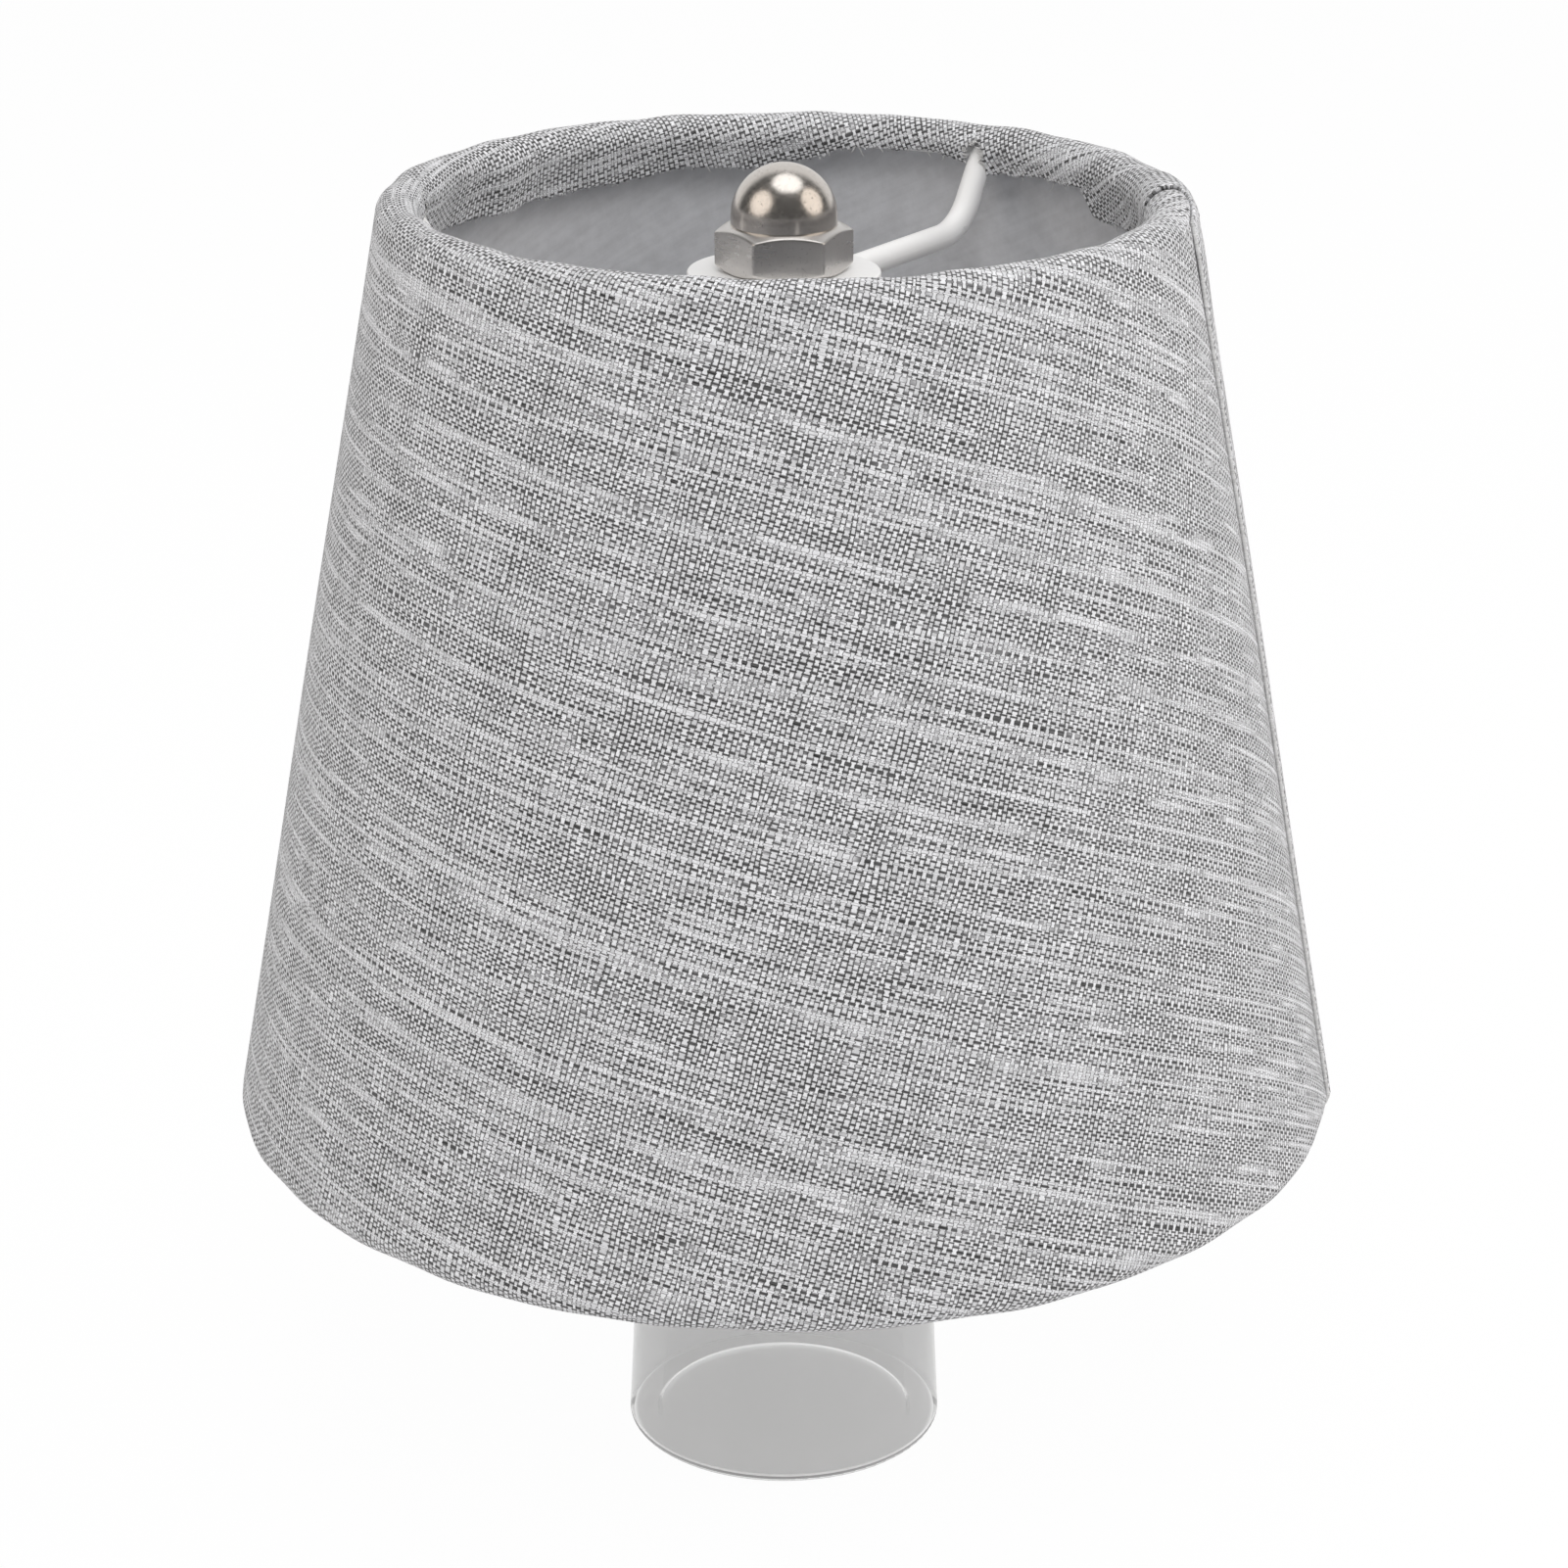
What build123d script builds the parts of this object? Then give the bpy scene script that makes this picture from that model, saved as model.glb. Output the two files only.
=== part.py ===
from build123d import *
import os
from math import asin, atan, cos, hypot, pi, radians, sin

# A small candle lamp: a cloth shade on a wire spider, carried by a clear tapered sleeve that stands on its mouth.
# Millimetres, +Z up. The origin is the centre of the sleeve's mouth, on the table.

# Shade
shade_bottom_dia = 138.6
shade_top_dia = 97.5
shade_height = 117.1
cloth_thickness = 0.6
liner_thickness = 0.4
glue_gap = 0.05
top_hem = 5.0
bottom_hem = 10.0

# Wire spider
wire_dia = 3.2
hub_thickness = 1.2
hub_drop = 9.85
arm_count = 3
arm_azimuth = 56.0
arm_rise_inset = 6.2
arm_bend_radius = 8.0
arm_nut_gap = 0.6
weld_length = 3.0
weld_gap = 0.02
slit_clearance = 0.4

# Clear sleeve
sleeve_height = 149.0
bore_mouth_dia = 32.5
sleeve_wall = 4.2
sleeve_top_wall = 5.0
mouth_edge_radius = 0.5
shoulder_radius = 1.5

# Stud, nuts and washers
stud_dia = 9.8
thread_clearance = 0.05
stud_tail = 3.0
stud_shy = 0.5
nut_flats = 14.0
nut_room = 0.97
nut_chamfer = 1.7
nut_chamfer_rise = 0.82
lock_nut_thickness = 3.0
inner_nut_thickness = 4.0
washer_thickness = 1.0
washer_margin = 0.32

# Cap nut
cap_flats = 14.6
cap_hex_height = 5.6
cap_turn = 4.4
dome_dia = 12.86
dome_skirt = 0.97
dome_wall = 0.9

# Candle that is pushed up the sleeve
flame_room = 20.0
flame_height = 24.8
flame_belly = 0.55
flame_taper = 0.8
flame_tip_radius = 0.6
lens_wall = 1.0
lens_flange = 1.2
lens_spigot = 4.0
lens_rim = 3.6
candle_clearance = 0.5
housing_length = 26.0
housing_wall = 1.5
ledge_width = 1.7
ledge_thickness = 1.0
grip_height = 3.8
grip_drop = 4.0
grip_depth = 0.7
grip_gap = 0.08
groove_play = 0.1
cell_thickness = 3.2
cell_room = 0.35
contact_height = 3.7
contact_dia = 6.0
contact_plate = 0.6
contact_stem_dia = 2.4
board_thickness = 1.0
board_play = 0.15
led_dia = 5.0
led_flange_dia = 5.8
led_flange_height = 1.0
led_height = 8.6

# Twist base of the candle
base_flange = 4.0
spigot_height = 2.4
spigot_clearance = 0.08
oring_section = 1.0
oring_squeeze_gap = 0.05
oring_groove_depth = 1.0
oring_groove_height = 1.2
spring_rise = 2.0
spring_strip = 0.3
spring_gap = 0.05
spring_bore_dia = 5.0
spring_rim = 2.2
coin_slot_width = 2.0
coin_slot_inset = 5.5
coin_slot_depth = 1.5
flute_count = 24
flute_dia = 1.6

# Radii that fit one piece to the next
half_hex = cos(radians(30))
wire_radius = wire_dia / 2
stud_radius = stud_dia / 2
threaded_bore = stud_radius + thread_clearance
nut_corner = nut_flats / 2 / half_hex
washer_radius = nut_corner + washer_margin
bore_length = sleeve_height - sleeve_top_wall
bore_slope = (bore_mouth_dia / 2 - nut_corner - nut_room) / bore_length

# Heights on the stud, from the inner nut up to the cap nut
inner_washer_z = bore_length - washer_thickness
inner_nut_z = inner_washer_z - inner_nut_thickness
stud_bottom = inner_nut_z - stud_tail
lock_nut_z = sleeve_height + washer_thickness
hub_z = lock_nut_z + lock_nut_thickness
cap_z = hub_z + hub_thickness
dome_z = cap_z + cap_hex_height
stud_top = dome_z - stud_shy

# Shade rings: the cloth goes over the lining and round each ring
fold_inner = wire_radius + 2 * glue_gap + liner_thickness
fold_outer = fold_inner + cloth_thickness
shade_top_z = cap_z + hub_drop
top_ring_radius = shade_top_dia / 2 - fold_outer
top_ring_z = shade_top_z - fold_outer
bottom_ring_radius = shade_bottom_dia / 2 - fold_outer
bottom_ring_z = shade_top_z - shade_height + fold_outer
top_centre = Vector(top_ring_radius, top_ring_z)
bottom_centre = Vector(bottom_ring_radius, bottom_ring_z)
slope_up = (top_centre - bottom_centre).normalized()
slope_out = Vector(slope_up.Y, -slope_up.X)

# Spider
arm_z = hub_z - wire_radius
arm_start = nut_corner + arm_nut_gap
hub_radius = arm_start + weld_length
arm_bend = top_ring_radius - arm_rise_inset

# Candle heights, from the flame's tip down
flame_tip = stud_bottom - flame_room
lens_top = flame_tip - flame_height
housing_top = lens_top - lens_flange
housing_bottom = housing_top - housing_length
base_bottom = housing_bottom - base_flange
spigot_top = housing_bottom + spigot_height
cell_z = spigot_top + spring_rise
contact_z = cell_z + 2 * cell_thickness
board_z = contact_z + contact_height
led_z = board_z + board_thickness
grip_top = housing_top - grip_drop
grip_bottom = grip_top - grip_height


def bore_radius(height):
    """Radius of the sleeve's tapered bore at a height above the table."""
    return bore_mouth_dia / 2 - bore_slope * height


def candle_radius(height):
    """Radius that the candle may have at a height, clear of the bore."""
    return bore_radius(height) - candle_clearance


# Candle radii
upper_chamber = candle_radius(housing_top) - housing_wall
cell_chamber = candle_radius(board_z) - housing_wall
ledge_radius = cell_chamber - ledge_width
cell_radius = cell_chamber - cell_room
board_radius = upper_chamber - board_play
groove_radius = candle_radius(grip_top) - grip_depth
lens_radius = candle_radius(lens_top)
flame_radius = lens_radius - lens_rim
lens_spigot_radius = upper_chamber - spigot_clearance
base_radius = candle_radius(housing_bottom)
spigot_radius = cell_chamber - spigot_clearance
oring_radius = cell_chamber - oring_squeeze_gap - oring_section / 2
oring_z = housing_bottom + spigot_height / 2
spring_radius = spigot_radius - spring_rim


def hem_fold(centre, along, hem):
    """Corners of the cloth where it goes round a ring and comes back to lie on the lining."""
    lean = asin(wire_radius / hypot(hem, fold_inner)) + atan(fold_inner / hem)
    half_turn = (pi + lean) / 2
    crown = slope_out * cos(half_turn) + along * sin(half_turn)
    leave = slope_out * -cos(lean) - along * sin(lean)
    run = slope_out * sin(lean) - along * cos(lean)
    return {
        "outer_start": centre + slope_out * fold_outer,
        "outer_crown": centre + crown * fold_outer,
        "outer_leave": centre + leave * fold_outer,
        "outer_edge": centre + leave * fold_outer + run * hem,
        "inner_edge": centre + leave * fold_inner + run * hem,
        "inner_leave": centre + leave * fold_inner,
        "inner_crown": centre + crown * fold_inner,
        "inner_start": centre + slope_out * fold_inner,
    }


def fold_outline(fold):
    """Closed outline of one fold, inside a line builder."""
    ThreePointArc(fold["outer_start"], fold["outer_crown"], fold["outer_leave"])
    Line(fold["outer_leave"], fold["outer_edge"])
    Line(fold["outer_edge"], fold["inner_edge"])
    Line(fold["inner_edge"], fold["inner_leave"])
    ThreePointArc(fold["inner_leave"], fold["inner_crown"], fold["inner_start"])
    Line(fold["inner_start"], fold["outer_start"])


def wire_ring(radius, height):
    """Round wire ring about the lamp's axis."""
    with BuildPart() as ring:
        with BuildSketch(Plane.XZ):
            with Locations((radius, height)):
                Circle(wire_radius)
        revolve(axis=Axis.Z)
    return ring


def washer(bottom):
    """Flat washer on the stud."""
    with BuildPart() as disc:
        with BuildSketch(Plane.XY.offset(bottom)):
            Circle(washer_radius)
            Circle(threaded_bore, mode=Mode.SUBTRACT)
        extrude(amount=washer_thickness)
    return disc


def hex_nut(flats, bottom, height, turn):
    """Hexagon nut on the stud, with its corners chamfered at both ends."""
    corner = flats / 2 / half_hex
    rim = corner - nut_chamfer
    rise = nut_chamfer_rise
    with BuildPart() as nut:
        with BuildSketch(Plane.XY.offset(bottom)):
            RegularPolygon(radius=flats / 2, side_count=6, major_radius=False, rotation=turn)
        extrude(amount=height)
        with BuildSketch(Plane.XZ):
            with BuildLine():
                Polyline(
                    (threaded_bore, bottom),
                    (rim, bottom),
                    (corner, bottom + rise),
                    (corner, bottom + height - rise),
                    (rim, bottom + height),
                    (threaded_bore, bottom + height),
                    close=True,
                )
            make_face()
        revolve(axis=Axis.Z, mode=Mode.INTERSECT)
    return nut


# Cloth cover: the two folds first, so that the slits for the arms cut only the hem, then the wall between them
top_fold = hem_fold(top_centre, slope_up, top_hem)
bottom_fold = hem_fold(bottom_centre, slope_up * -1, bottom_hem)
slit_reach = shade_bottom_dia / 2 - top_ring_radius + 2 * fold_outer
with BuildPart() as shade_cover:
    with BuildSketch(Plane.XZ):
        with BuildLine():
            fold_outline(top_fold)
        make_face()
    revolve(axis=Axis.Z)
    with BuildSketch(Plane.XY.offset(top_ring_z)):
        with PolarLocations(top_ring_radius, arm_count, start_angle=arm_azimuth):
            Rectangle(slit_reach, wire_dia + 2 * slit_clearance)
    extrude(amount=-top_hem - fold_outer, mode=Mode.SUBTRACT)
    with BuildSketch(Plane.XZ):
        with BuildLine():
            fold_outline(bottom_fold)
        make_face()
        with BuildLine():
            Polyline(
                bottom_fold["outer_start"],
                top_fold["outer_start"],
                top_fold["inner_start"],
                bottom_fold["inner_start"],
                close=True,
            )
        make_face()
    revolve(axis=Axis.Z)

# Lining: a stiff cone that stands on the outside of both rings
liner_inner = wire_radius + glue_gap
liner_outer = liner_inner + liner_thickness
with BuildPart() as shade_liner:
    with BuildSketch(Plane.XZ):
        with BuildLine():
            Polyline(
                bottom_centre + slope_out * liner_inner,
                bottom_centre + slope_out * liner_outer,
                top_centre + slope_out * liner_outer,
                top_centre + slope_out * liner_inner,
                close=True,
            )
        make_face()
    revolve(axis=Axis.Z)

top_ring = wire_ring(top_ring_radius, top_ring_z)
bottom_ring = wire_ring(bottom_ring_radius, bottom_ring_z)

# Hub disc with a running hole for the stud
with BuildPart() as spider_hub:
    with BuildSketch(Plane.XY.offset(hub_z)):
        Circle(hub_radius)
        Circle(threaded_bore, mode=Mode.SUBTRACT)
    extrude(amount=hub_thickness)
    fillet(spider_hub.edges().filter_by(GeomType.CIRCLE).group_by(SortBy.RADIUS)[-1], radius=hub_thickness / 4)


def spider_arm(azimuth):
    """Bent wire from under the hub out and up to the top ring, cut to sit against it."""
    outward = Vector(cos(radians(azimuth)), sin(radians(azimuth)), 0)
    upright = Plane(origin=(0, 0, 0), x_dir=outward, z_dir=outward.rotate(Axis.Z, -90))
    with BuildPart() as arm:
        with BuildLine(upright) as route:
            FilletPolyline(
                (arm_start, arm_z),
                (arm_bend, arm_z),
                (top_ring_radius, top_ring_z),
                radius=arm_bend_radius,
            )
        with BuildSketch(Plane(origin=route.line @ 0, z_dir=route.line % 0)):
            Circle(wire_radius)
        sweep(path=route.line)
        with BuildSketch(Plane.XZ):
            with Locations((top_ring_radius, top_ring_z)):
                Circle(wire_radius + weld_gap)
        revolve(axis=Axis.Z, mode=Mode.SUBTRACT)
    return arm


spider_arms = [spider_arm(arm_azimuth + 360 / arm_count * step) for step in range(arm_count)]

# Clear sleeve: a thick tapered cup upside down, with a hole in its end wall for the stud
sleeve_mouth_radius = bore_mouth_dia / 2 + sleeve_wall
sleeve_top_radius = bore_radius(sleeve_height) + sleeve_wall
with BuildPart() as clear_sleeve:
    with BuildSketch(Plane.XZ):
        with BuildLine():
            Polyline(
                (bore_mouth_dia / 2, 0),
                (sleeve_mouth_radius, 0),
                (sleeve_top_radius, sleeve_height),
                (threaded_bore, sleeve_height),
                (threaded_bore, bore_length),
                (bore_radius(bore_length), bore_length),
                close=True,
            )
        make_face()
    revolve(axis=Axis.Z)
    fillet(clear_sleeve.edges().group_by(Axis.Z)[0], radius=mouth_edge_radius)
    fillet(clear_sleeve.edges().group_by(Axis.Z)[-1].sort_by(SortBy.RADIUS)[-1], radius=shoulder_radius)

# Threaded stud with chamfered ends
with BuildPart() as threaded_stud:
    with BuildSketch(Plane.XY.offset(stud_bottom)):
        Circle(stud_radius)
    extrude(amount=stud_top - stud_bottom)
    chamfer(threaded_stud.edges().filter_by(GeomType.CIRCLE), length=stud_shy)

inner_nut = hex_nut(nut_flats, inner_nut_z, inner_nut_thickness, cap_turn)
inner_washer = washer(inner_washer_z)
sleeve_washer = washer(sleeve_height)
lock_nut = hex_nut(nut_flats, lock_nut_z, lock_nut_thickness, cap_turn)

# Cap nut in two pieces: the hexagon, and a hollow dome joined to its top
cap_nut_hex = hex_nut(cap_flats, cap_z, cap_hex_height, cap_turn)
dome_radius = dome_dia / 2
dome_spring_z = dome_z + dome_skirt
with BuildPart() as cap_nut_dome:
    with BuildSketch(Plane.XZ):
        with BuildLine():
            Line((dome_radius - dome_wall, dome_z), (dome_radius, dome_z))
            Line((dome_radius, dome_z), (dome_radius, dome_spring_z))
            CenterArc((0, dome_spring_z), dome_radius, 0, 90)
            Line((0, dome_spring_z + dome_radius), (0, dome_spring_z + dome_radius - dome_wall))
            CenterArc((0, dome_spring_z), dome_radius - dome_wall, 0, 90)
            Line((dome_radius - dome_wall, dome_spring_z), (dome_radius - dome_wall, dome_z))
        make_face()
    revolve(axis=Axis.Z)

# Candle housing: tapered like the bore, with a ledge for the board and a groove for the grip ring
with BuildPart() as candle_housing:
    with BuildSketch(Plane.XZ):
        with BuildLine():
            Polyline(
                (cell_chamber, housing_bottom),
                (candle_radius(housing_bottom), housing_bottom),
                (candle_radius(grip_bottom - groove_play), grip_bottom - groove_play),
                (groove_radius, grip_bottom - groove_play),
                (groove_radius, grip_top + groove_play),
                (candle_radius(grip_top + groove_play), grip_top + groove_play),
                (candle_radius(housing_top), housing_top),
                (upper_chamber, housing_top),
                (upper_chamber, board_z),
                (ledge_radius, board_z),
                (ledge_radius, board_z - ledge_thickness),
                (cell_chamber, board_z - ledge_thickness),
                close=True,
            )
        make_face()
    revolve(axis=Axis.Z)

# Silicone band that wedges the candle in the bore
with BuildPart() as grip_ring:
    with BuildSketch(Plane.XZ):
        with BuildLine():
            Polyline(
                (groove_radius + thread_clearance, grip_bottom),
                (bore_radius(grip_bottom) - grip_gap, grip_bottom),
                (bore_radius(grip_top) - grip_gap, grip_top),
                (groove_radius + thread_clearance, grip_top),
                close=True,
            )
        make_face()
    revolve(axis=Axis.Z)

# Hollow flame-shaped lens on a flange, with a spigot in the top of the housing
flame_waist_z = lens_top + flame_height * (1 - flame_belly)
flame_waist = flame_radius - flame_taper
hollow_tip = flame_tip - 2 * lens_wall
spigot_bore = lens_spigot_radius - lens_wall
with BuildPart() as flame_lens:
    with BuildSketch(Plane.XZ):
        with BuildLine():
            Polyline(
                (flame_radius - lens_wall, lens_top),
                (spigot_bore, housing_top),
                (spigot_bore, housing_top - lens_spigot),
                (lens_spigot_radius, housing_top - lens_spigot),
                (lens_spigot_radius, housing_top),
                (lens_radius, housing_top),
                (lens_radius, lens_top),
                (flame_radius, lens_top),
            )
            ThreePointArc((flame_radius, lens_top), (flame_waist, flame_waist_z), (flame_tip_radius, flame_tip))
            Polyline((flame_tip_radius, flame_tip), (0, flame_tip), (0, hollow_tip), (flame_tip_radius, hollow_tip))
            ThreePointArc(
                (flame_tip_radius, hollow_tip),
                (flame_waist - lens_wall, flame_waist_z),
                (flame_radius - lens_wall, lens_top),
            )
        make_face()
    revolve(axis=Axis.Z)

# Round board on the ledge
with BuildPart() as circuit_board:
    with BuildSketch(Plane.XY.offset(board_z)):
        Circle(board_radius)
    extrude(amount=board_thickness)

# Light: a domed capsule on its flange
led_radius = led_dia / 2
with BuildPart() as led:
    with BuildSketch(Plane.XY.offset(led_z)):
        Circle(led_flange_dia / 2)
    extrude(amount=led_flange_height)
    with BuildSketch(Plane.XY.offset(led_z)):
        Circle(led_radius)
    extrude(amount=led_height - led_radius)
    with Locations((0, 0, led_z + led_height - led_radius)):
        Sphere(led_radius)


def coin_cell(bottom):
    """One coin cell, with the rounded edge of its can."""
    with BuildPart() as cell:
        with BuildSketch(Plane.XY.offset(bottom)):
            Circle(cell_radius)
        extrude(amount=cell_thickness)
        fillet(cell.edges().filter_by(GeomType.CIRCLE), radius=cell_thickness / 8)
    return cell


coin_cells = [coin_cell(cell_z + cell_thickness * step) for step in range(2)]

# Turned contact between the upper cell and the board
with BuildPart() as battery_contact:
    with BuildSketch(Plane.XY.offset(contact_z)):
        Circle(contact_dia / 2)
    extrude(amount=contact_plate)
    with BuildSketch(Plane.XY.offset(contact_z)):
        Circle(contact_stem_dia / 2)
    extrude(amount=contact_height)

# Twist base: a fluted flange with a coin slot, and a grooved spigot inside the housing
oring_groove_radius = spigot_radius - oring_groove_depth
with BuildPart() as base_cap:
    with BuildSketch(Plane.XZ):
        with BuildLine():
            Polyline(
                (0, base_bottom),
                (base_radius, base_bottom),
                (base_radius, housing_bottom),
                (spigot_radius, housing_bottom),
                (spigot_radius, oring_z - oring_groove_height / 2),
                (oring_groove_radius, oring_z - oring_groove_height / 2),
                (oring_groove_radius, oring_z + oring_groove_height / 2),
                (spigot_radius, oring_z + oring_groove_height / 2),
                (spigot_radius, spigot_top),
                (0, spigot_top),
                close=True,
            )
        make_face()
    revolve(axis=Axis.Z)
    with BuildSketch(Plane.XY.offset(base_bottom)):
        SlotOverall(2 * (base_radius - coin_slot_inset), coin_slot_width)
    extrude(amount=coin_slot_depth, mode=Mode.SUBTRACT)
    with BuildSketch(Plane.XY.offset(base_bottom)):
        with PolarLocations(base_radius, flute_count):
            Circle(flute_dia / 2)
    extrude(amount=base_flange, mode=Mode.SUBTRACT)

# Seal in the spigot's groove
with BuildPart() as base_oring:
    with BuildSketch(Plane.XZ):
        with Locations((oring_radius, oring_z)):
            Circle(oring_section / 2)
    revolve(axis=Axis.Z)

# Dished spring washer that lifts the cells
with BuildPart() as contact_spring:
    with BuildSketch(Plane.XZ):
        with BuildLine():
            Polyline(
                (spring_radius, spigot_top),
                (spring_radius, spigot_top + spring_strip),
                (spring_bore_dia / 2, cell_z - spring_gap),
                (spring_bore_dia / 2, cell_z - spring_gap - spring_strip),
                close=True,
            )
        make_face()
    revolve(axis=Axis.Z)

pieces = {
    "shade_cover": shade_cover,
    "shade_liner": shade_liner,
    "top_ring": top_ring,
    "bottom_ring": bottom_ring,
    "spider_hub": spider_hub,
    "clear_sleeve": clear_sleeve,
    "threaded_stud": threaded_stud,
    "inner_nut": inner_nut,
    "inner_washer": inner_washer,
    "sleeve_washer": sleeve_washer,
    "lock_nut": lock_nut,
    "cap_nut_hex": cap_nut_hex,
    "cap_nut_dome": cap_nut_dome,
    "candle_housing": candle_housing,
    "grip_ring": grip_ring,
    "flame_lens": flame_lens,
    "circuit_board": circuit_board,
    "led": led,
    "battery_contact": battery_contact,
    "base_cap": base_cap,
    "base_oring": base_oring,
    "contact_spring": contact_spring,
}
for number, arm in enumerate(spider_arms, start=1):
    pieces[f"spider_arm_{number}"] = arm
for number, cell in enumerate(coin_cells, start=1):
    pieces[f"coin_cell_{number}"] = cell

os.makedirs("parts", exist_ok=True)
for name, piece in pieces.items():
    piece.part.label = name
    export_step(piece.part, f"parts/{name}.step")
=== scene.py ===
import math

import bpy
import numpy as np
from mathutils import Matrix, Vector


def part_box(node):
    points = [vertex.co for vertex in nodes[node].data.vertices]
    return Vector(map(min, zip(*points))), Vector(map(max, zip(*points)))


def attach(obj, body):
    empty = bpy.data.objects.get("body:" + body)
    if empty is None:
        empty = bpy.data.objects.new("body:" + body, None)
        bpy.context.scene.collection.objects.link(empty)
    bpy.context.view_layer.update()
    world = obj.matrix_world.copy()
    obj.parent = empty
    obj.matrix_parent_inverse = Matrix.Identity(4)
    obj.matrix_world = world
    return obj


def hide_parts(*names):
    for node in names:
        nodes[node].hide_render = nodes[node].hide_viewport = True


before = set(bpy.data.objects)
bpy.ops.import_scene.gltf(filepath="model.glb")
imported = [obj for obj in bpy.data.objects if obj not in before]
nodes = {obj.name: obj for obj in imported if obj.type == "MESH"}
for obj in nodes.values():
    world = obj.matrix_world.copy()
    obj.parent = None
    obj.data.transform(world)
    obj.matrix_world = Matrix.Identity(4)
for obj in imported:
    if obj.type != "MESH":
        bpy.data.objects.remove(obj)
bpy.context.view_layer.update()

mm = 0.001
perMetre = 1000.0  # mm in a metre
fullTurn = 2 * math.pi
noiseMiddle = (0.3, 0.7)  # most of a noise lies between these
print("frame loaded:", len(nodes), "nodes")


# small helpers for shader trees
def plug(tree, value, socket):
    if hasattr(value, "is_linked"):  # another node's output
        tree.links.new(value, socket)
    else:
        socket.default_value = value


def setSockets(node, numbers):
    for key, number in numbers.items():
        node.inputs[key].default_value = number


def newFinish(name):
    mat = bpy.data.materials.new(name)
    mat.use_nodes = True
    tree = mat.node_tree
    tree.nodes.clear()
    out = tree.nodes.new("ShaderNodeOutputMaterial")
    skin = tree.nodes.new("ShaderNodeBsdfPrincipled")
    tree.links.new(skin.outputs["BSDF"], out.inputs["Surface"])
    return mat, tree, skin


def calc(tree, operation, *values):
    node = tree.nodes.new("ShaderNodeMath")
    node.operation = operation
    for value, socket in zip(values, node.inputs):
        plug(tree, value, socket)
    return node.outputs[0]


def times(tree, first, second):
    return calc(tree, "MULTIPLY", first, second)


def minus(tree, first, second):
    return calc(tree, "SUBTRACT", first, second)


def ramp(tree, value, fromLow, fromHigh, toLow=0.0, toHigh=1.0, kind="SMOOTHSTEP"):
    node = tree.nodes.new("ShaderNodeMapRange")
    node.interpolation_type = kind
    for socket, number in zip(node.inputs, (value, fromLow, fromHigh, toLow, toHigh)):
        plug(tree, number, socket)
    return node.outputs[0]


def blendColor(tree, share, first, second, kind="MIX"):
    node = tree.nodes.new("ShaderNodeMix")
    node.data_type = "RGBA"
    node.blend_type = kind
    plug(tree, share, node.inputs[0])
    plug(tree, first, node.inputs[6])  # the two colour sockets
    plug(tree, second, node.inputs[7])
    return node.outputs[2]


def gray(tone, warm=0.0, blue=0.0):
    return (tone * (1 + warm), tone, tone * (1 - warm + blue), 1.0)


def joinXyz(tree, x, y, z=0.0):
    node = tree.nodes.new("ShaderNodeCombineXYZ")
    for value, socket in zip((x, y, z), node.inputs):
        plug(tree, value, socket)
    return node.outputs[0]


def evenXyz(tree, value):
    return joinXyz(tree, value, value, value)


def splitXyz(tree, vector):
    node = tree.nodes.new("ShaderNodeSeparateXYZ")
    tree.links.new(vector, node.inputs[0])
    return node.outputs


def noise(tree, place, scale=1.0, detail=2.0, rough=0.5, warp=0.0):
    node = tree.nodes.new("ShaderNodeTexNoise")
    tree.links.new(place, node.inputs["Vector"])
    setSockets(node, {"Scale": scale, "Detail": detail, "Roughness": rough, "Distortion": warp})
    return node.outputs["Fac"]


def randomAt(tree, number):
    node = tree.nodes.new("ShaderNodeTexWhiteNoise")
    node.noise_dimensions = "1D"
    plug(tree, number, node.inputs["W"])
    return node.outputs["Value"]


def bumpTo(tree, skin, height, distance, strength):
    node = tree.nodes.new("ShaderNodeBump")
    setSockets(node, {"Strength": strength, "Distance": distance})
    tree.links.new(height, node.inputs["Height"])
    tree.links.new(node.outputs["Normal"], skin.inputs["Normal"])


def ownPlace(tree):
    return tree.nodes.new("ShaderNodeTexCoord").outputs["Object"]


def stretched(tree, place, scale):
    node = tree.nodes.new("ShaderNodeVectorMath")
    node.operation = "MULTIPLY"
    tree.links.new(place, node.inputs[0])
    node.inputs[1].default_value = scale
    return node.outputs[0]


def fromAxis(tree, x, y):
    return calc(tree, "SQRT", calc(tree, "MULTIPLY_ADD", x, x, times(tree, y, y)))


def seenRays(tree):
    # rays that show a surface, as against those that light one
    rays = tree.nodes.new("ShaderNodeLightPath").outputs
    bent = calc(tree, "MAXIMUM", rays["Is Glossy Ray"], rays["Is Transmission Ray"])
    return rays, calc(tree, "MAXIMUM", rays["Is Camera Ray"], bent)


# small helpers for meshes
def addMesh(name, points, faces):
    mesh = bpy.data.meshes.new(name)
    mesh.from_pydata(np.asarray(points).reshape(-1, 3).tolist(), [], faces)
    mesh.shade_smooth()
    obj = bpy.data.objects.new(name, mesh)
    bpy.context.scene.collection.objects.link(obj)
    return obj


def gridFaces(rows, columns, closed=False, keep=None):
    faces = []
    for row in range(rows - 1):
        for column in range(columns if closed else columns - 1):
            if keep is None or keep[row, column]:
                beside = (column + 1) % columns
                faces.append((row * columns + column, row * columns + beside,
                              (row + 1) * columns + beside, (row + 1) * columns + column))
    return faces


def smoothStep(low, high, value):
    t = np.clip((value - low) / (high - low), 0, 1)
    return t * t * (3 - 2 * t)


def unit(vector):
    return vector / np.linalg.norm(vector)


def paint(obj, mat):
    obj.data.materials.clear()
    obj.data.materials.append(mat)
    return obj


def dress(mat, *names):
    for name in names:
        paint(nodes[name], mat)


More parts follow.
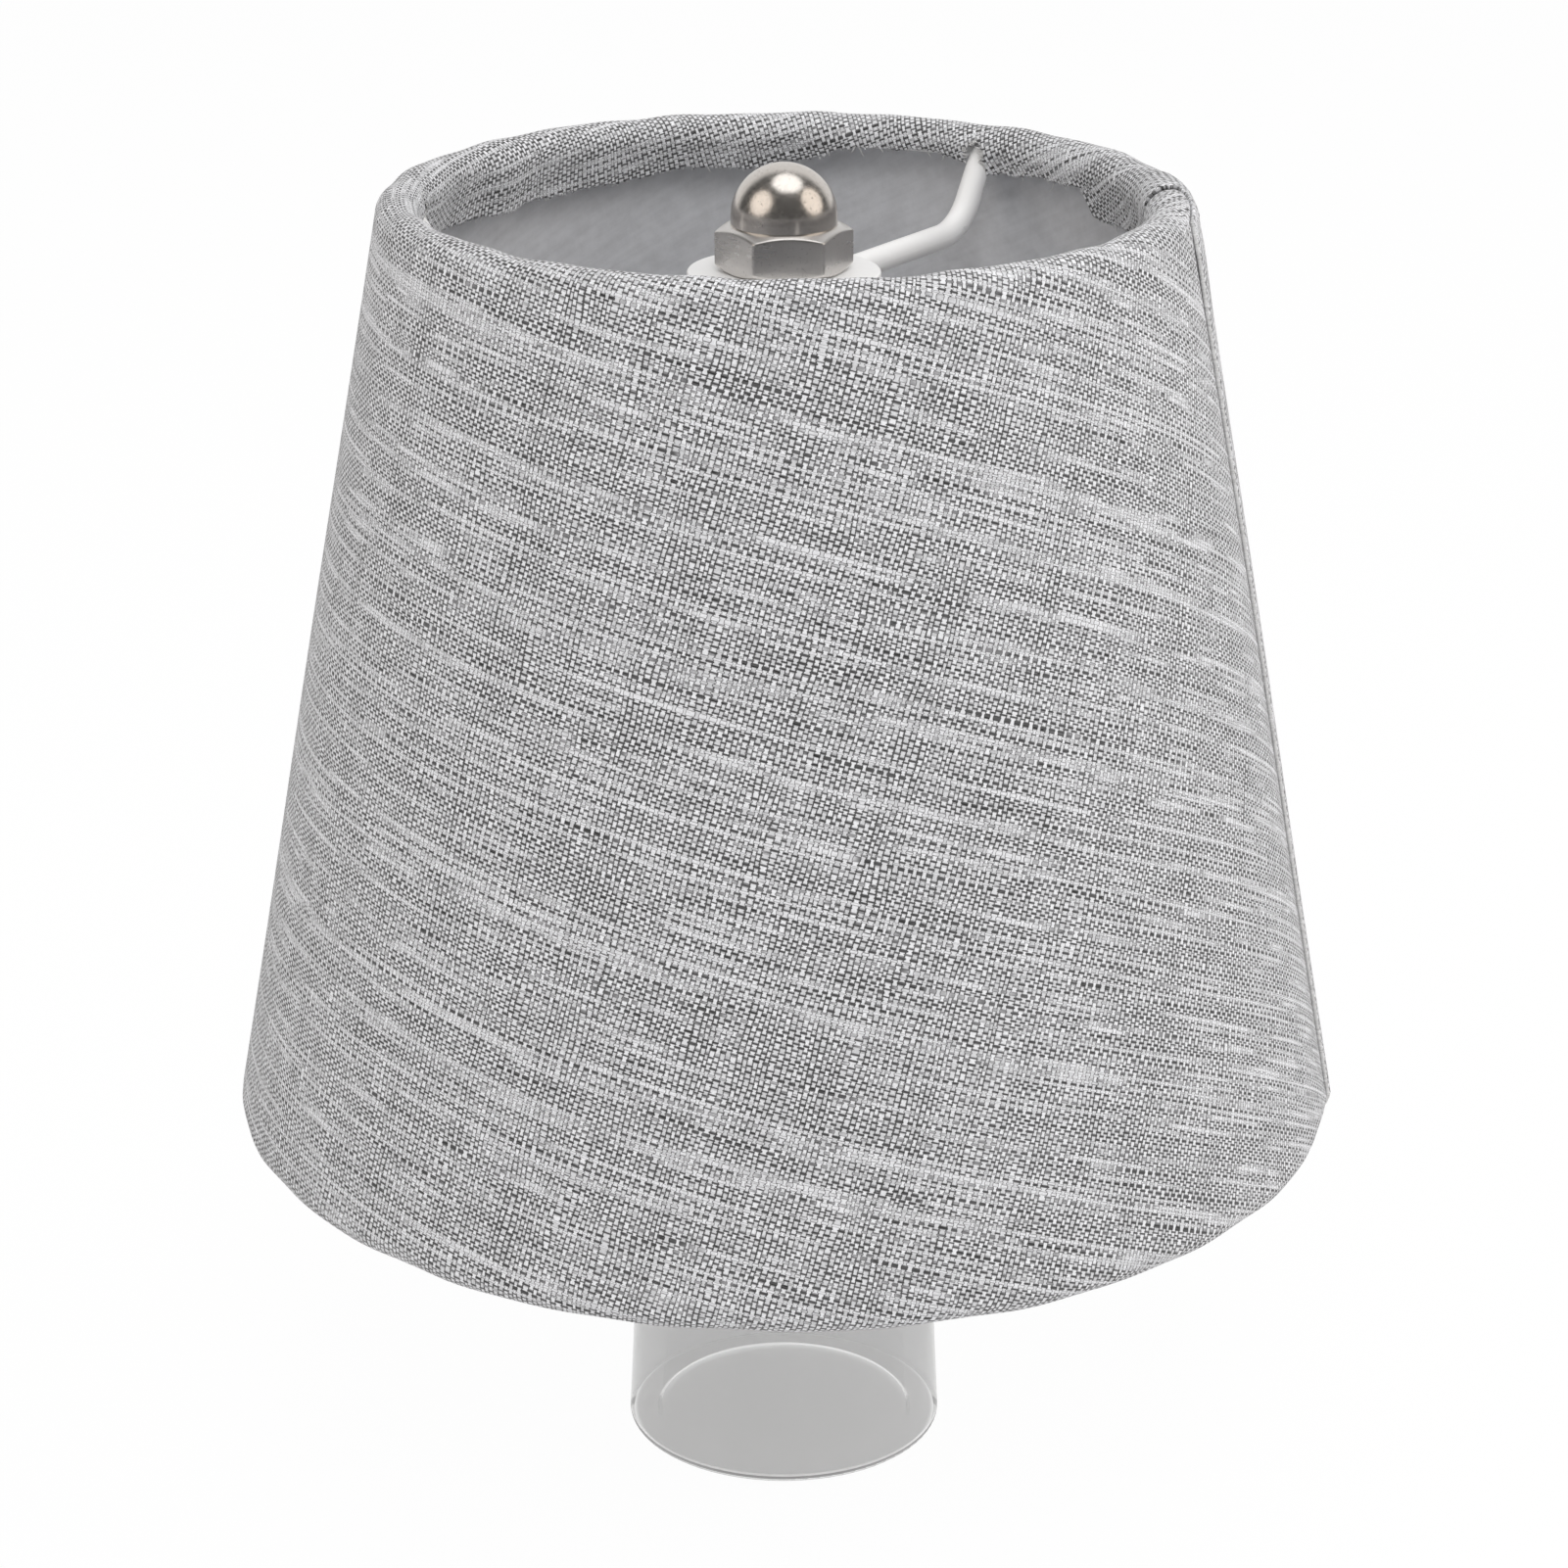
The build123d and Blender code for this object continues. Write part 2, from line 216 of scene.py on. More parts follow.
# camera: half a metre in front of the lamp, a little above it
view = {
    "place": (0.0, -0.47964, 0.26828), "tilt": 69.431,  # m, degrees up from straight down
    "lens": 93.57, "film": 36.0, "nearest": 0.01,  # mm, mm, m
}
cameraData = bpy.data.cameras.new("camera")
cameraData.sensor_width = view["film"]
cameraData.lens = view["lens"]
cameraData.clip_start = view["nearest"]
camera = bpy.data.objects.new("camera", cameraData)
camera.location = view["place"]
camera.rotation_euler = (math.radians(view["tilt"]), 0, 0)
bpy.context.scene.collection.objects.link(camera)
bpy.context.scene.camera = camera
bpy.context.scene.view_settings.view_transform = "Standard"


# cloth of the shade: pale warp, slub weft that runs from pale to nearly black
weave = {
    "warpPitch": 0.617, "weftPitch": 0.42,  # mm from yarn to yarn
    "warpHalf": 0.425, "weftHalf": (0.17, 0.36),  # share of the pitch, weft thin where dark
    "warpUneven": (0.85, 1.15),  # thinnest and thickest warp yarn
    "sway": 1.6, "swayScale": (0.3, 0.08, 0.0),  # mm off the straight line, waves in a mm
    "lift": 1.2, "liftScale": (0.03, 0.95, 0.0),
    "slubLength": 12.0, "bandLength": 30.0, "bandHeight": 3.0,  # mm
    # what turns a stretch of weft pale: its slub, its band, chance, and every other yarn
    "slubShare": 0.8, "bandShare": 0.18, "chance": 0.25, "alternate": 0.04,
    "paleFrom": (0.485, 0.635),
    # odd steps that keep the noises of yarns and bands apart
    "slubApart": 7.31, "bandApart": 4.7, "warpApart": 1.37, "cellApart": (3.17, 11.3),
    # heights, as shares of the relief
    "swing": 1.1, "warpBias": 0.4, "weftBias": 0.75, "crown": 0.6,
    "lowest": -0.6, "highest": 0.4, "absent": -3.0,
    "warpFibre": (11.0, 2.2, 0.0), "weftFibre": (2.2, 13.0, 0.0),  # waves in a mm
    # gapShade is painted shadow in the gaps between yarns
    "warpTone": 0.86, "weftPale": 0.81, "weftDark": 0.026, "gapShade": 0.09,
    "warm": -0.008, "blue": 0.028,
    "darkCrownHighlight": 0.15, "crownHighlightFrom": (0.5, 0.95),  # painted highlight on the crown of a dark yarn
    "rawTone": 0.72, "rawSpread": (0.8, 1.1), "rawFrom": (0.2, 0.8),
    # from two values of a noise or height, to two shares of the yarn's own tone
    "cellTone": (0.0, 1.0, 0.72, 1.0), "warpFibreTone": (0.25, 0.75, 0.84, 1.0),
    # underShade and the two side shades are painted shade: a yarn darkens where it dives under and
    # towards its sides
    "weftFibreTone": (0.2, 0.7, 0.70, 1.0), "underShade": (-0.6, 0.35, 0.3, 1.0),
    "warpSideShade": (0.0, 0.5, 0.6, 1.0), "weftSideShade": (0.0, 0.7, 0.22, 1.0),
    # creaseShadeRamp is painted shade where two yarns meet
    "creaseShadeRamp": (0.0, 0.5, 0.12, 1.0),
    "rough": 0.86, "gloss": 0.25, "sheen": 0.24, "sheenRough": 0.5,
    "relief": 0.10, "bump": 0.9,  # mm, strength
}


def clothFinish():
    mat, tree, skin = newFinish("heatherCloth")
    place = tree.nodes.new("ShaderNodeAttribute")
    place.attribute_name = "clothPlace"
    flat = place.outputs["Vector"]
    u, v, rawEdgeAndSeamShade = splitXyz(tree, flat)

    # yarns wander off their straight lines, and the rows lie closer in places
    sway = noise(tree, stretched(tree, flat, weave["swayScale"]))
    lift = noise(tree, stretched(tree, flat, weave["liftScale"]), detail=3.0, rough=0.6)
    warpAt = calc(tree, "MULTIPLY_ADD", sway, weave["sway"], u)
    warpAt = calc(tree, "DIVIDE", warpAt, weave["warpPitch"])
    weftAt = calc(tree, "MULTIPLY_ADD", lift, weave["lift"], v)
    weftAt = calc(tree, "DIVIDE", weftAt, weave["weftPitch"])
    warpId = calc(tree, "FLOOR", warpAt)
    weftId = calc(tree, "FLOOR", weftAt)
    warpAcross = minus(tree, calc(tree, "FRACT", warpAt), 0.5)
    weftAcross = minus(tree, calc(tree, "FRACT", weftAt), 0.5)

    # slubs: each weft yarn turns dark and thin for a stretch, more so in some bands
    along = calc(tree, "DIVIDE", u, weave["slubLength"])
    slubAt = joinXyz(tree, along, times(tree, weftId, weave["slubApart"]))
    slub = noise(tree, slubAt, detail=3.0, rough=0.55)
    bandAt = joinXyz(tree, calc(tree, "DIVIDE", u, weave["bandLength"]),
                     calc(tree, "DIVIDE", v, weave["bandHeight"]), weave["bandApart"])
    band = noise(tree, bandAt, detail=3.0, rough=0.6)
    chance = minus(tree, randomAt(tree, weftId), 0.5)
    other = minus(tree, calc(tree, "PINGPONG", weftId, 1.0), 0.5)  # every other yarn leans to pale
    pick = times(tree, slub, weave["slubShare"])
    pick = calc(tree, "MULTIPLY_ADD", band, weave["bandShare"], pick)
    pick = calc(tree, "MULTIPLY_ADD", chance, weave["chance"], pick)
    pick = calc(tree, "MULTIPLY_ADD", other, weave["alternate"], pick)
    pale = ramp(tree, pick, *weave["paleFrom"])
    weftHalf = ramp(tree, pale, 0.0, 1.0, *weave["weftHalf"], "LINEAR")
    uneven = randomAt(tree, times(tree, warpId, weave["warpApart"]))
    uneven = ramp(tree, uneven, 0.0, 1.0, *weave["warpUneven"], "LINEAR")
    warpHalf = times(tree, uneven, weave["warpHalf"])

    # over and under: a yarn stays up across its float and dives between floats
    def yarn(across, half, at, crossed, sign, bias):
        phase = calc(tree, "ADD", minus(tree, at, 0.5), crossed)
        wave = calc(tree, "COSINE", times(tree, phase, math.pi))
        rise = calc(tree, "MULTIPLY_ADD", wave, weave["swing"] * sign, bias)
        rise = calc(tree, "MAXIMUM", rise, weave["lowest"])
        rise = calc(tree, "MINIMUM", rise, weave["highest"])
        share = calc(tree, "DIVIDE", across, half)
        body = minus(tree, 1.0, times(tree, share, share))
        crown = calc(tree, "SQRT", calc(tree, "MAXIMUM", body, 0.0))
        crown = times(tree, crown, weave["crown"])
        gone = times(tree, calc(tree, "LESS_THAN", body, 0.0), weave["absent"])
        return rise, body, calc(tree, "ADD", calc(tree, "ADD", rise, crown), gone)

    warpRise, warpBody, warpHeight = yarn(
        warpAcross, warpHalf, weftAt, warpId, 1.0, weave["warpBias"])
    weftRise, weftBody, weftHeight = yarn(
        weftAcross, weftHalf, warpAt, weftId, -1.0, weave["weftBias"])
    top = calc(tree, "MAXIMUM", warpHeight, weftHeight)
    height = calc(tree, "MAXIMUM", top, weave["lowest"])
    weftShows = calc(tree, "GREATER_THAN", weftHeight, warpHeight)
    gapShadeMask = calc(tree, "LESS_THAN", top, weave["lowest"])

    # warp: fibres along the yarn, with painted shade at its sides and where it goes under
    warpFibre = noise(tree, stretched(tree, flat, weave["warpFibre"]))
    weftFibre = noise(tree, stretched(tree, flat, weave["weftFibre"]))
    warpApart, weftApart = weave["cellApart"]
    cell = calc(tree, "MULTIPLY_ADD", warpId, warpApart, times(tree, weftId, weftApart))
    warpTone = times(tree, ramp(tree, randomAt(tree, cell), *weave["cellTone"], "LINEAR"),
                     ramp(tree, warpFibre, *weave["warpFibreTone"]))
    warpShade = times(tree, ramp(tree, warpRise, *weave["underShade"]),
                      ramp(tree, warpBody, *weave["warpSideShade"]))
    warpTone = evenXyz(tree, times(tree, warpTone, warpShade))
    warpPale = gray(weave["warpTone"], weave["warm"], weave["blue"])
    warpColor = blendColor(tree, 1.0, warpPale, warpTone, "MULTIPLY")

    # weft: the same, between its dark and its pale tone, with painted shade at its sides and where
    # it goes under
    paleShare = times(tree, pale, ramp(tree, weftFibre, *weave["weftFibreTone"]))
    # painted highlight: a dark yarn is paler along its crown, varied by the fibre noise
    crownHighlight = times(tree, ramp(tree, weftBody, *weave["crownHighlightFrom"]),
                 times(tree, weave["darkCrownHighlight"], weftFibre))
    paleShare = calc(tree, "MAXIMUM", paleShare, crownHighlight)
    weftShade = times(tree, ramp(tree, weftRise, *weave["underShade"]),
                      ramp(tree, weftBody, *weave["weftSideShade"]))
    weftDark = gray(weave["weftDark"])
    weftPale = gray(weave["weftPale"], weave["warm"], weave["blue"])
    weftColor = blendColor(tree, times(tree, paleShare, weftShade), weftDark, weftPale)

    # both together, with painted shade in creases and gaps, the raw edge pale, and painted shade
    # beside the seam
    apart = calc(tree, "ABSOLUTE", minus(tree, warpHeight, weftHeight))
    creaseShade = ramp(tree, apart, *weave["creaseShadeRamp"])
    lit = blendColor(tree, weftShows, warpColor, weftColor)
    lit = blendColor(tree, 1.0, lit, evenXyz(tree, creaseShade), "MULTIPLY")
    lit = blendColor(tree, gapShadeMask, lit, gray(weave["gapShade"]))
    rawLow, rawHigh = (weave["rawTone"] * share for share in weave["rawSpread"])
    rawTone = ramp(tree, weftFibre, *weave["rawFrom"], rawLow, rawHigh)
    lit = blendColor(tree, calc(tree, "MAXIMUM", rawEdgeAndSeamShade, 0.0), lit, evenXyz(tree, rawTone))
    # below 0 the attribute is painted shade along the seam
    paintedSeamShade = calc(tree, "MAXIMUM", times(tree, rawEdgeAndSeamShade, -1.0), 0.0)
    lit = blendColor(tree, paintedSeamShade, lit, weftDark)
    plug(tree, lit, skin.inputs["Base Color"])
    setSockets(skin, {"Roughness": weave["rough"], "Specular IOR Level": weave["gloss"],
                      "Sheen Weight": weave["sheen"], "Sheen Roughness": weave["sheenRough"]})
    bumpTo(tree, skin, height, weave["relief"] * mm, weave["bump"])
    return mat


# lining: matte grey sheet with faint drawn streaks
lining = {
    "tone": 0.62, "streak": 0.032, "fleck": 0.035,
    "red": 0.988, "blue": 1.04,  # beside green
    "radius": 55.0, "lean": 0.45,  # mm from the axis, climb of the streaks
    "streakScale": (0.55, 0.045), "mottleScale": 0.35, "fleckScale": 2.6,  # waves in a mm
    "rough": (0.62, 0.8), "gloss": 0.3,
    "relief": 0.03, "bump": 0.6,  # mm, strength
}


def liningFinish():
    mat, tree, skin = newFinish("greyLining")
    x, y, z = splitXyz(tree, ownPlace(tree))
    around = times(tree, calc(tree, "ARCTAN2", y, x), lining["radius"])  # mm round the axis
    up = times(tree, z, perMetre)
    lean = calc(tree, "MULTIPLY_ADD", around, lining["lean"], up)
    acrossScale, alongScale = lining["streakScale"]
    streakAt = joinXyz(tree, times(tree, lean, acrossScale), times(tree, around, alongScale))
    streak = noise(tree, streakAt, detail=4.0, rough=0.6)
    sheetAt = joinXyz(tree, around, up)
    mottle = noise(tree, sheetAt, lining["mottleScale"], detail=4.0, rough=0.65)
    fleck = noise(tree, sheetAt, lining["fleckScale"], rough=0.6)
    low, high = lining["tone"] - lining["streak"], lining["tone"] + lining["streak"]
    tone = calc(tree, "ADD", ramp(tree, streak, *noiseMiddle, low, high),
                ramp(tree, mottle, *noiseMiddle, -lining["fleck"], lining["fleck"]))
    tint = joinXyz(tree, times(tree, tone, lining["red"]), tone, times(tree, tone, lining["blue"]))
    plug(tree, tint, skin.inputs["Base Color"])
    plug(tree, ramp(tree, fleck, *noiseMiddle, *lining["rough"]), skin.inputs["Roughness"])
    setSockets(skin, {"Specular IOR Level": lining["gloss"]})
    bumpTo(tree, skin, calc(tree, "ADD", fleck, streak), lining["relief"] * mm, lining["bump"])
    return mat


# white coat on the spider: dipped powder with orange peel and a few scuffs
whiteCoat = {
    "tone": 0.86, "shadeShare": 0.95, "warm": (-0.004, 0.006),
    "scuffTone": 0.52, "scuffShare": 0.5, "scuffFrom": (0.66, 0.74),
    "peelScale": 900.0, "sagScale": 180.0, "scuffScale": 420.0, "tintScale": 60.0,  # waves in a m
    "rough": (0.3, 0.45), "sag": 4.0,  # sag beside peel
    "peel": 0.035, "bump": 0.7,  # mm, strength
}


def coatFinish():
    mat, tree, skin = newFinish("whiteCoat")
    place = ownPlace(tree)
    peel = noise(tree, place, whiteCoat["peelScale"])
    sag = noise(tree, place, whiteCoat["sagScale"], detail=1.0)
    scuff = noise(tree, place, whiteCoat["scuffScale"], detail=4.0, rough=0.7, warp=0.6)
    scuff = times(tree, ramp(tree, scuff, *whiteCoat["scuffFrom"]), whiteCoat["scuffShare"])
    cool, warm = whiteCoat["warm"]
    tint = noise(tree, place, whiteCoat["tintScale"])
    shaded = whiteCoat["tone"] * whiteCoat["shadeShare"]
    base = blendColor(tree, tint, gray(whiteCoat["tone"], cool), gray(shaded, warm))
    base = blendColor(tree, scuff, base, gray(whiteCoat["scuffTone"]))
    plug(tree, base, skin.inputs["Base Color"])
    plug(tree, ramp(tree, peel, *noiseMiddle, *whiteCoat["rough"]), skin.inputs["Roughness"])
    relief = calc(tree, "MULTIPLY_ADD", sag, whiteCoat["sag"], peel)
    bumpTo(tree, skin, relief, whiteCoat["peel"] * mm, whiteCoat["bump"])
    return mat


# metals: a tone, a warm share and how the surface was worked
metals = {
    "zincSteel": {"tone": 0.56, "warm": 0.0, "rough": (0.3, 0.5),
                  "brush": (900, 900, 120), "bump": 0.012, "spot": 0.25},
    "satinNickel": {"tone": 0.66, "warm": 0.035, "rough": (0.24, 0.38),
                    "brush": (260, 260, 1500), "bump": 0.012, "spot": 0.3},
    "polishedNickel": {"tone": 0.67, "warm": 0.07, "rough": (0.15, 0.28),
                       "brush": (2000, 2000, 2000), "bump": 0.012, "spot": 0.45},
    "cellSteel": {"tone": 0.6, "warm": 0.01, "rough": (0.2, 0.34),
                  "brush": (1500, 200, 200), "bump": 0.006, "spot": 0.15},
    "contactBrass": {"tone": 0.55, "warm": 0.28, "rough": (0.25, 0.4),
                     "brush": (700, 700, 700), "bump": 0.008, "spot": 0.2},
}
tarnish = {
    "cloudScale": 240.0, "speckScale": 2600.0, "speckFrom": (0.6, 0.72),
    "dull": (0.92, 1.3), "bright": (1.06, 0.8), "speckTone": 0.45,  # share of tone and of warmth
    "brushShare": 0.6, "cloudShare": 0.4, "bump": 0.6,
}


def metalFinish(name):
    spec = metals[name]
    mat, tree, skin = newFinish(name)
    place = ownPlace(tree)
    brush = noise(tree, stretched(tree, place, spec["brush"]), detail=3.0, rough=0.6)
    cloud = noise(tree, place, tarnish["cloudScale"], detail=3.0, rough=0.6)
    speck = noise(tree, place, tarnish["speckScale"], rough=0.6)
    speck = times(tree, ramp(tree, speck, *tarnish["speckFrom"]), spec["spot"])
    dull, bright = (gray(spec["tone"] * tone, spec["warm"] * warm)
                    for tone, warm in (tarnish["dull"], tarnish["bright"]))
    base = blendColor(tree, cloud, dull, bright)
    base = blendColor(tree, speck, base, gray(spec["tone"] * tarnish["speckTone"], spec["warm"]))
    plug(tree, base, skin.inputs["Base Color"])
    worked = times(tree, cloud, tarnish["cloudShare"])
    worked = calc(tree, "MULTIPLY_ADD", brush, tarnish["brushShare"], worked)
    plug(tree, ramp(tree, worked, *noiseMiddle, *spec["rough"]), skin.inputs["Roughness"])
    setSockets(skin, {"Metallic": 1.0})
    bumpTo(tree, skin, brush, spec["bump"] * mm, tarnish["bump"])
    return mat


# plastics of the light: a colour, a finish and a little light inside
plastics = {
    "ivoryPlastic": {"color": (0.74, 0.66, 0.50), "rough": (0.36, 0.5),
                     "grain": 1400, "inside": 0.12, "bump": 0.01},
    "opalPlastic": {"color": (0.86, 0.78, 0.62), "rough": (0.22, 0.34),
                    "grain": 700, "inside": 0.45, "bump": 0.006},
    "silicone": {"color": (0.55, 0.56, 0.56), "rough": (0.4, 0.55),
                 "grain": 900, "inside": 0.2, "bump": 0.008},
    "boardLaminate": {"color": (0.10, 0.27, 0.14), "rough": (0.3, 0.45),
                      "grain": 2200, "inside": 0.0, "bump": 0.012},
    "ledEpoxy": {"color": (0.82, 0.72, 0.42), "rough": (0.08, 0.16),
                 "grain": 500, "inside": 0.35, "bump": 0.003},
}
moulding = {
    "cloudScale": 130.0, "deep": 0.9, "pale": 1.05, "palest": 0.95,
    "reach": 0.002, "bump": 0.6,  # m that light goes in, strength
}


def plasticFinish(name):
    spec = plastics[name]
    mat, tree, skin = newFinish(name)
    place = ownPlace(tree)
    grain = noise(tree, place, spec["grain"], detail=3.0, rough=0.6)
    cloud = noise(tree, place, moulding["cloudScale"], detail=3.0, rough=0.55)
    deep = tuple(c * moulding["deep"] for c in spec["color"]) + (1.0,)
    pale = tuple(min(c * moulding["pale"], moulding["palest"]) for c in spec["color"]) + (1.0,)
    plug(tree, blendColor(tree, cloud, deep, pale), skin.inputs["Base Color"])
    plug(tree, ramp(tree, grain, *noiseMiddle, *spec["rough"]), skin.inputs["Roughness"])
    if spec["inside"]:
        setSockets(skin, {"Subsurface Weight": spec["inside"],
                          "Subsurface Scale": moulding["reach"]})
    bumpTo(tree, skin, grain, spec["bump"] * mm, moulding["bump"])
    return mat


# clear sleeve: acrylic with a smoky haze on its outside, and lines round its ground mouth: a pale
# ground band, a painted dark line and a painted highlight line
acrylic = {
    # lines up from the mouth: mm, tone, how solid; a pale band, a painted dark line, a painted
    # highlight line, and last the haze above them
    "mouthLines": ((0.0, 0.5, 0.36), (0.40, 0.5, 0.36), (0.50, 0.2, 0.75), (0.78, 0.2, 0.75),
                   (0.88, 0.95, 0.5), (1.1, 0.95, 0.5), (1.2, 0.36, 0.42)),
    "linesFade": (-0.004, 0.006),  # m front to back
    "boreSolid": 0.04, "rough": (0.10, 0.16), "scratchFrom": (0.4, 0.8), "ior": 1.49,
    "flowScale": (120.0, 120.0, 14.0), "flowTone": (0.97, 1.03), "blue": 1.003,
    "scratchScale": (500.0, 500.0, 6000.0),
    # radius between bore and outside: mm, its taper, and at the mouth
    "boreRadius": 16.8, "boreTaper": -0.05, "ringRadius": 19.9, "ringHeight": (0.01, 0.05),
    # a painted highlight glows along the bore's edge
    "edgeHeight": 0.5, "edgeSoft": 0.1, "edgeGlow": 0.85,  # mm, mm, strength
    "edgeFade": (-0.005, 0.008),  # m front to back
}


def acrylicFinish():
    mat, tree, skin = newFinish("clearAcrylic")
    place = ownPlace(tree)
    x, y, z = splitXyz(tree, place)
    up = times(tree, z, perMetre)
    flow = noise(tree, stretched(tree, place, acrylic["flowScale"]), detail=3.0, rough=0.55)
    scratch = noise(tree, stretched(tree, place, acrylic["scratchScale"]), rough=0.6)
    radius = times(tree, fromAxis(tree, x, y), perMetre)
    within = ramp(tree, up, *acrylic["ringHeight"],
                  acrylic["ringRadius"], acrylic["boreRadius"], "LINEAR")
    within = calc(tree, "MULTIPLY_ADD", up, acrylic["boreTaper"], within)
    outside = calc(tree, "GREATER_THAN", radius, within)

    # the painted dark line and the painted highlight line fade out towards the back
    lines = acrylic["mouthLines"]
    tone, solid = lines[0][1:]
    fade = ramp(tree, y, *acrylic["linesFade"], 0.0, lines[-1][0])  # none on the far side
    up = calc(tree, "ADD", up, fade)
    for (low, toneLow, solidLow), (high, toneHigh, solidHigh) in zip(lines, lines[1:]):
        share = ramp(tree, up, low, high, 0.0, 1.0, "LINEAR")
        tone = calc(tree, "MULTIPLY_ADD", share, toneHigh - toneLow, tone)
        solid = calc(tree, "MULTIPLY_ADD", share, solidHigh - solidLow, solid)
    tone = times(tree, tone, ramp(tree, flow, *noiseMiddle, *acrylic["flowTone"]))
    haze = minus(tree, solid, acrylic["boreSolid"])
    solid = calc(tree, "MULTIPLY_ADD", outside, haze, acrylic["boreSolid"])
    tint = joinXyz(tree, tone, tone, times(tree, tone, acrylic["blue"]))
    plug(tree, tint, skin.inputs["Base Color"])
    scratch = ramp(tree, scratch, *acrylic["scratchFrom"], *acrylic["rough"])
    plug(tree, scratch, skin.inputs["Roughness"])

    # painted highlight: the edge of the bore glows with emission on the far side
    edgeTop = (acrylic["edgeHeight"] + acrylic["edgeSoft"]) * mm
    edge = ramp(tree, z, acrylic["edgeHeight"] * mm, edgeTop, 1.0, 0.0)
    edge = times(tree, edge, calc(tree, "LESS_THAN", radius, acrylic["boreRadius"]))
    edge = times(tree, edge, ramp(tree, y, *acrylic["edgeFade"]))
    setSockets(skin, {"IOR": acrylic["ior"], "Emission Color": gray(1.0)})
    plug(tree, times(tree, edge, acrylic["edgeGlow"]), skin.inputs["Emission Strength"])
    plug(tree, calc(tree, "MAXIMUM", solid, edge), skin.inputs["Alpha"])
    return mat


clothMat = clothFinish()
liningMat = liningFinish()
coatMat = coatFinish()
acrylicMat = acrylicFinish()
metalMats = {name: metalFinish(name) for name in metals}
plasticMats = {name: plasticFinish(name) for name in plastics}
print("finishes made:", len(bpy.data.materials))

dress(liningMat, "shade_liner")
dress(coatMat, "top_ring", "bottom_ring", "spider_hub",
      "spider_arm_1", "spider_arm_2", "spider_arm_3")
dress(acrylicMat, "clear_sleeve")
dress(metalMats["zincSteel"], "threaded_stud", "inner_nut", "inner_washer",
      "sleeve_washer", "lock_nut")
dress(metalMats["satinNickel"], "cap_nut_hex")
dress(metalMats["polishedNickel"], "cap_nut_dome")
dress(plasticMats["ivoryPlastic"], "candle_housing", "base_cap")
dress(plasticMats["opalPlastic"], "flame_lens")
dress(plasticMats["silicone"], "grip_ring", "base_oring")
dress(plasticMats["boardLaminate"], "circuit_board")
dress(plasticMats["ledEpoxy"], "led")
dress(metalMats["cellSteel"], "coin_cell_1", "coin_cell_2")
dress(metalMats["contactBrass"], "battery_contact", "contact_spring")

# hexagon of the cap nut, with its corners and edges worn round
nut = {
    "flats": 14.6, "turn": 4.4,  # mm, degrees
    "chamfer": 1.7, "rise": 0.82, "bore": 4.95, "topStep": 0.3,  # mm
    "cornerRound": 0.55, "edgeRound": 0.26, "edgeReach": 1.5,  # mm, mm, edge rounds
    # degrees from the middle of a flat, and how many columns
    "flatColumns": (-27.6, 27.6, 21), "cornerColumns": (28.1, 31.9, 10),
    "chamferRows": (0.3, 0.7, 0.9, 1.0), "edgeRows": 7,
}


def buildNut():
    low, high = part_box("cap_nut_hex")
    half, cornerRound, edge = nut["flats"] / 2, nut["cornerRound"], nut["edgeRound"]
    corner = math.pi / 6  # from the middle of a flat
    lean = np.concatenate([np.linspace(*nut["flatColumns"]), np.linspace(*nut["cornerColumns"])])
    turn = np.radians(np.concatenate([lean + 60 * side for side in range(6)]))
    fromFace = (turn + corner) % (math.pi / 3) - corner
    reach = (half - cornerRound) / math.cos(corner)  # axis to the centre of a corner's round
    beside = corner - np.abs(fromFace)
    flatRadius = half / np.cos(fromFace)
    inRound = np.maximum(cornerRound ** 2 - (reach * np.sin(beside)) ** 2, 0)
    roundRadius = reach * np.cos(beside) + np.sqrt(inRound)
    onFlat = half * np.tan(np.abs(fromFace)) < (half - cornerRound) * math.tan(corner)
    rim = np.where(onFlat, flatRadius, roundRadius)
    start = half / math.cos(corner) - nut["chamfer"]

    def drop(radius):
        return np.maximum(radius - start, 0) * nut["rise"] / nut["chamfer"]

    # one half of the outline: bore, flat top, chamfer, rounded edge, side
    line = [(np.full_like(rim, radius), np.zeros_like(rim))
            for radius in (nut["bore"], start - nut["topStep"], start)]
    for share in nut["chamferRows"]:
        radius = start + (rim - nut["edgeReach"] * edge - start) * share
        line.append((radius, drop(radius)))
    first, last = rim - edge, drop(rim) + edge
    for share in np.linspace(0, 1, nut["edgeRows"]):
        left = (1 - share) ** 2
        line.append((first * left + rim * (1 - left),
                     drop(first) * left + 2 * drop(rim) * share * (1 - share) + last * share ** 2))
    line.append((rim, drop(rim) + nut["edgeReach"] * edge))
    rows = [(radius, high.z / mm - down) for radius, down in line]
    rows += [(radius, low.z / mm + down) for radius, down in reversed(line)]
    at = turn + math.radians(nut["turn"] - 90)
    points = np.array([np.stack([radius * np.cos(at), radius * np.sin(at), z], axis=-1)
                       for radius, z in rows]) * mm
    count = len(rows) * len(turn)
    faces = gridFaces(len(rows) + 1, len(turn), closed=True)
    faces = [tuple(point % count for point in face) for face in faces]  # the bore joins both ends
    return paint(addMesh("nut_hexagon", points, faces), metalMats["satinNickel"])


nutObj = buildNut()
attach(nutObj, "cap_nut")
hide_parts("cap_nut_hex")
print("nut:", len(nutObj.data.vertices), "points")

